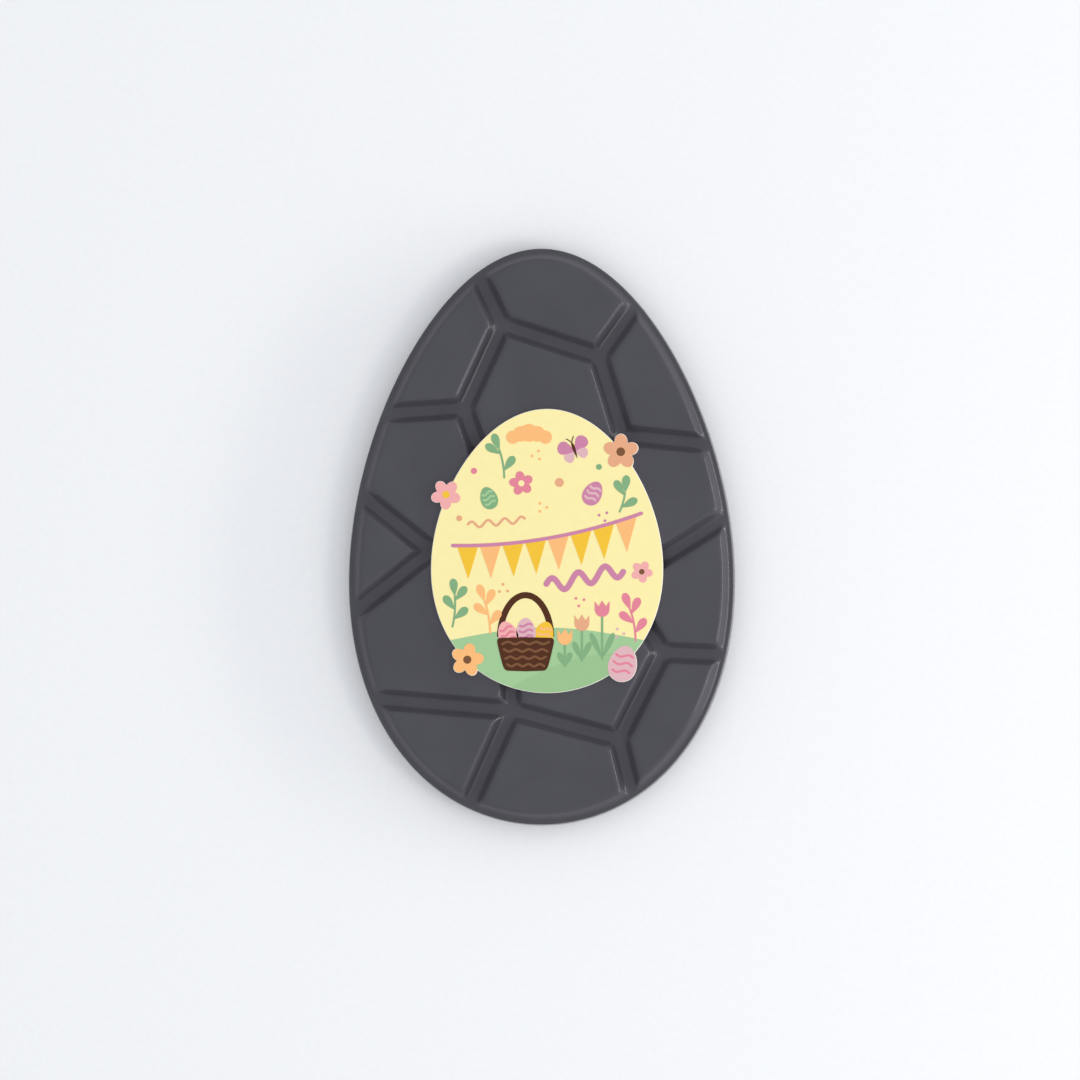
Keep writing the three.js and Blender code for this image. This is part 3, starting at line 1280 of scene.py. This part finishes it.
        # Inks of shell and stripes, place beside the middle and above the rim, and turn in radians.
        nest = (
            (Ink.PINK, Ink.MAGENTA, -4.6, 0.8, 0.35),
            (Ink.GOLD, Ink.ORANGE, 4.7, 0.7, -0.3),
            (Ink.BLUSH, Ink.MAUVE, 0.1, 1.6, 0.05),
        )
        for shell, stripe, aside, lift, turn in nest:
            self.striped_egg(shell, stripe, SmallEgg((middle + aside, rim + lift), 2.6, 3.5, turn))
        share, squareness = shares(50), 9.0
        bowed = (1.0 - np.abs(2.0 * share - 1.0) ** squareness) ** (1.0 / squareness)
        tub = joined(middle, foot + (rim - foot) * share)
        self.stroke(Ink.BROWN, Layer.ACCENT, tub, (5.3 + 2.3 * share**0.8) * bowed)
        across = 2.0 * shares(60) - 1.0
        for k in range(4):
            wave = 0.3 * np.sin(11.0 * across + math.pi * k)
            strand = joined(middle + (5.1 + 0.42 * k) * across, foot + 1.6 + 1.9 * k + wave)
            self.line(Ink.WICKER, Layer.TOP, strand, self.thin_line)

    def tulips(self) -> None:
        """Prints three tulips on two-leaved stems: a cup is half an ellipse below and three points above."""
        bowl = math.pi * (1.0 + shares(24))
        notched = np.array([[1.9, 2.0], [0.95, 0.7], [0.0, 2.2], [-0.95, 0.7], [-1.9, 2.0]])
        head = np.concatenate([joined(1.9 * np.cos(bowl), 2.0 * np.sin(bowl)), notched])
        # Foot of the stem, its length, and the head's ink.
        plants = (
            (9.0, -28.6, 8.6, Ink.SALMON),
            (14.2, -28.2, 11.8, Ink.MAGENTA),
            (4.6, -30.0, 6.4, Ink.ORANGE),
        )
        for x, y, tall, ink in plants:
            stem = joined(x, y + tall * shares(30))
            self.line(Ink.LEAF, Layer.FIGURE, stem, 0.28)
            for lean in (-0.42, 0.42):
                self.leaf(Ink.LEAF, Layer.FIGURE, stem[1], math.pi / 2.0 + lean, (0.62 * tall, 0.75))
            self.patch(ink, Layer.DETAIL, head + np.array([x, y + tall + 1.4]))

    def pennants(self) -> None:
        """Prints a string of pennants: pointed flags hang from a sagging string that rises to the right."""
        count, half_span, level, slope, sag, drop = 8, 24.8, 5.6, 0.17, 2.4, 8.6

        def string(x: Numbers) -> Numbers:
            """Gives the string's height: a slope and a parabola that sags in the middle."""
            return level + slope * x - sag * (1.0 - (x / half_span) ** 2)

        x = half_span * (2.0 * shares(120) - 1.0)
        self.line(Ink.MAUVE, Layer.DETAIL, joined(x, string(x)), 0.45)
        pitch = 2.0 * half_span / (count + 0.5)
        share = shares(12)[:-1, None]
        for k in range(count):
            middle = (k - (count - 1) / 2.0) * pitch
            ends = middle + 0.47 * pitch * np.array([-1.0, 1.0])
            tip = np.array([middle + 0.2, string(middle) - drop])
            corners = [*joined(ends, string(ends) - 0.1), tip]
            sides = [start + (end - start) * share for start, end in ring_pairs(corners)]
            self.patch(Ink.ORANGE if k % 3 == 1 else Ink.GOLD, Layer.FIGURE, np.concatenate(sides))

    def waves(self) -> None:
        """Prints a mauve wavy ribbon under the pennants and a thin salmon one over them."""
        # Ink, start, length, height and number of the waves, half width and slope.
        ribbons = (
            (Ink.MAUVE, (-0.5, -9.2), 20.5, 1.8, 3.0, 0.75, 0.22),
            (Ink.SALMON, (-20.5, 6.6), 15.0, 0.8, 3.5, 0.3, 0.1),
        )
        share = shares(160)
        for ink, (x, y), length, height, turns, half_width, slope in ribbons:
            wave = slope * length * share + height * np.sin(FULL_TURN * turns * share)
            self.line(ink, Layer.FIGURE, joined(x + length * share, y + wave), half_width)

    def butterfly(self) -> None:
        """Prints a butterfly: four petal-shaped wings, a body and two feelers."""
        place, turn = (7.2, 25.6), 0.35
        # Ink, angle to the level, and size of the upper and the lower wings.
        wings = ((Ink.MAUVE, 0.62, (4.6, 1.7)), (Ink.BLUSH, -0.5, (3.4, 1.35)))
        for ink, angle, size in wings:
            for heading in (angle, math.pi - angle):
                self.leaf(ink, Layer.FIGURE, place, turn + heading, size)
        tail = turned(np.array([0.0, -2.0]), turn, place)
        self.leaf(Ink.BROWN, Layer.DETAIL, tail, turn + math.pi / 2.0, (4.4, 0.4))
        share = shares(14)
        for side in (-1.0, 1.0):
            feeler = joined(side * 1.1 * share**1.5, 2.2 + 1.7 * share)
            self.line(Ink.BROWN, Layer.DETAIL, turned(feeler, turn, place), 0.12)

    def cloud(self) -> None:
        """Prints an orange evening cloud near the narrow end: five overlapping discs in a shallow arch."""
        for k in range(-2, 3):
            place = (-4.6 + 2.1 * k, 30.4 - 0.28 * k**2)
            self.dot(Ink.ORANGE, Layer.FIGURE, place, 2.3 - 0.3 * abs(k))

    def flowers_and_sprigs(self) -> None:
        """Prints the flowers, small eggs, sprigs and dots round the picture."""
        first, second, third = self.plaque.flowers
        # Inks of the petals and the middle, and the outline.
        flowers = (
            (Ink.SALMON, Ink.WICKER, first),
            (Ink.PINK, Ink.GOLD, second),
            (Ink.ORANGE, Ink.WICKER, third),
            (Ink.MAGENTA, Ink.CREAM, FlowerShape((-6.6, 17.4), 3.3, 0.5)),
            (Ink.PINK, Ink.WICKER, FlowerShape((24.4, -5.4), 3.0, 1.1)),
        )
        # Inks of the shell and the stripes, and the outline.
        eggs = (
            (Ink.BLUSH, Ink.MAGENTA, self.plaque.egg),
            (Ink.MAUVE, Ink.BLUSH, SmallEgg((11.8, 14.8), 2.5, 3.4, -0.5)),
            (Ink.LEAF, Ink.MEADOW, SmallEgg((-15.0, 13.6), 2.3, 3.1, 0.35)),
        )
        # Ink, foot, direction in radians, length, and number of leaves at the sides.
        sprigs = (
            (Ink.LEAF, (-11.0, 18.6), 1.75, 7.8, 2),
            (Ink.LEAF, (18.6, 9.8), 1.3, 5.6, 2),
            (Ink.ORANGE, (-14.6, -21.4), 1.75, 9.0, 3),
            (Ink.LEAF, (-24.4, -19.8), 1.5, 8.6, 3),
            (Ink.MAGENTA, (22.8, -23.4), 1.75, 8.8, 3),
        )
        # Ink, place and radius of each dot.
        dots = [
            (Ink.MAGENTA, (-18.8, 20.6), 0.8),
            (Ink.LEAF, (13.4, 21.6), 0.75),
            (Ink.SALMON, (3.2, 17.6), 1.15),
            (Ink.SALMON, (-22.6, 8.4), 0.75),
        ]
        # Ink and middle of each cluster of three dots.
        clusters = (
            (Ink.ORANGE, (-1.2, 11.2)),
            (Ink.MAUVE, (14.6, 8.9)),
            (Ink.SALMON, (-11.2, -9.8)),
            (Ink.MAGENTA, (8.4, -13.0)),
            (Ink.ORANGE, (-2.6, 24.6)),
            (Ink.BLUSH, (18.6, -21.2)),
        )
        spoke, radius, turn = np.array([1.2, 0.0]), 0.36, 0.13 * FULL_TURN
        for k, (ink, middle) in enumerate(clusters):
            dots += [(ink, turned(spoke, turn * k + angle, middle), radius) for angle in round_angles(3)]
        for row in flowers:
            self.flower(*row)
        for row in eggs:
            self.striped_egg(*row)
        for row in sprigs:
            self.sprig(*row)
        for ink, place, radius in dots:
            self.dot(ink, Layer.FIGURE, place, radius)

    def build(self) -> list[bpy.types.Object]:
        """Prints the whole picture, one piece for each ink.

        Returns:
            The finished pieces.
        """
        scenery = (self.ground, self.meadow, self.basket, self.tulips, self.pennants, self.waves)
        for motif in (*scenery, self.butterfly, self.cloud, self.flowers_and_sprigs):
            motif()
        pieces = []
        for ink, sheet in self.sheets.items():
            name = ink.name.lower()
            finish = SugarIcing(name=f"food_ink_{name}", colour=ink.value, roughness=self.ink_roughness)
            piece = sheet.to_object(f"print_{name}", smooth=False)
            pieces.append(dress(piece, finish.material()))
        return pieces


# The studio


@dataclass(frozen=True)
class SoftLight:
    """A white rectangular light: its place, its level side and other side in metres, and its watts."""

    name: str
    place: tuple[float, float, float]
    size: tuple[float, float]
    power: float


@dataclass
class Studio:
    """Plain pale floor, even soft light that comes a little more from the right, and a camera above the egg.

    The low window draws a fine bright line along each cell's right lip, and the softbox one at its foot.
    """

    focus: tuple[float, float, float] = (-0.3 * MM, -1.0 * MM, 6.0 * MM)
    camera_distance: float = 1.0
    camera_lean: tuple[float, float] = (1.5, -1.5)
    shown_width: float = 279.1 * MM
    sensor_mm: float = 36.0
    floor_size: float = 3.0
    floor_lines: int = 5
    sky_strength: float = 1.02
    sky_colour: str = "EEF2FA"
    lights: tuple[SoftLight, ...] = (
        SoftLight("low_window", (0.95, 0.0, 0.21), (0.95, 0.12), 4.4),
        SoftLight("side_softbox", (0.72, -0.25, 0.7), (0.25, 0.25), 1.25),
    )
    floor_finish: PaperSweep = field(default_factory=PaperSweep)

    def build_floor(self) -> None:
        """Lays the floor as stage, level with the egg's back."""
        side = self.floor_size / MM * (shares(self.floor_lines) - 0.5)
        sheet = SurfaceMesh()
        sheet.add_grid(raised(joined(side[:, None], side[None, :]), 0.0))
        floor = sheet.to_object("floor", smooth=False)
        floor.data.materials.append(self.floor_finish.material())

    @staticmethod
    def _hang(name: str, data: bpy.types.ID, place: Vector, turn: Quaternion) -> bpy.types.Object:
        """Puts a light or the camera in its place.

        Args:
            name: The object's name.
            data: The light or the camera.
            place: Where it hangs.
            turn: How it is turned.

        Returns:
            The object.
        """
        made = link_object(name, data)
        made.location = place
        made.rotation_mode = "QUATERNION"
        made.rotation_quaternion = turn
        return made

    def build_lights(self) -> None:
        """Sets an even sky and hangs the soft lights so that they face the egg."""
        world = bpy.data.worlds.new("even_sky")
        world.use_nodes = True
        world.node_tree.nodes.clear()
        inputs = {"Color": linear_colour(self.sky_colour), "Strength": self.sky_strength}
        sky = add_node(world.node_tree, "ShaderNodeBackground", inputs)
        add_node(world.node_tree, "ShaderNodeOutputWorld", {"Surface": sky.outputs["Background"]})
        bpy.context.scene.world = world
        for light in self.lights:
            data = bpy.data.lights.new(light.name, "AREA")
            data.shape = "RECTANGLE"
            data.size, data.size_y = light.size
            data.energy = light.power
            place = Vector(light.place)
            self._hang(light.name, data, place, (Vector(self.focus) - place).to_track_quat("-Z", "Y"))

    def build_camera(self) -> None:
        """Sets the camera almost straight above, so that its frame is as wide as the shown width at the egg.

        It leans by the given degrees to the right and away from the viewer, with the egg's length upright.
        """
        aside, along = (math.sin(math.radians(lean)) for lean in self.camera_lean)
        back = Vector((aside, along, math.sqrt(1.0 - aside**2 - along**2)))
        right = Vector((0.0, 1.0, 0.0)).cross(back).normalized()
        turn = Matrix((right, back.cross(right), back)).transposed().to_quaternion()
        data = bpy.data.cameras.new("camera")
        data.sensor_width = self.sensor_mm
        data.lens = self.sensor_mm * self.camera_distance / self.shown_width
        place = Vector(self.focus) + back * self.camera_distance
        bpy.context.scene.camera = self._hang("camera", data, place, turn)

    def build(self) -> None:
        """Builds the floor, the lights and the camera."""
        bpy.context.scene.view_settings.view_transform = "Standard"
        self.build_floor()
        self.build_lights()
        self.build_camera()


def main() -> None:
    """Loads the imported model, builds the studio, the chocolate, the icing and its print, and reports them."""
    logging.basicConfig(level=logging.INFO, format="%(name)s: %(message)s")
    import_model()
    Studio().build()
    pieces = [ChocolateEgg().build()]
    low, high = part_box("icing_plaque")
    plaque = IcingPlaque(base=low.z / MM, top=high.z / MM - PlaquePrint.room())
    pieces += [plaque.build(), *PlaquePrint(plaque).build()]
    for piece in pieces:
        LOG.info("%s: %d triangles", piece.name, len(piece.data.polygons))


if __name__ == "__main__":
    main()
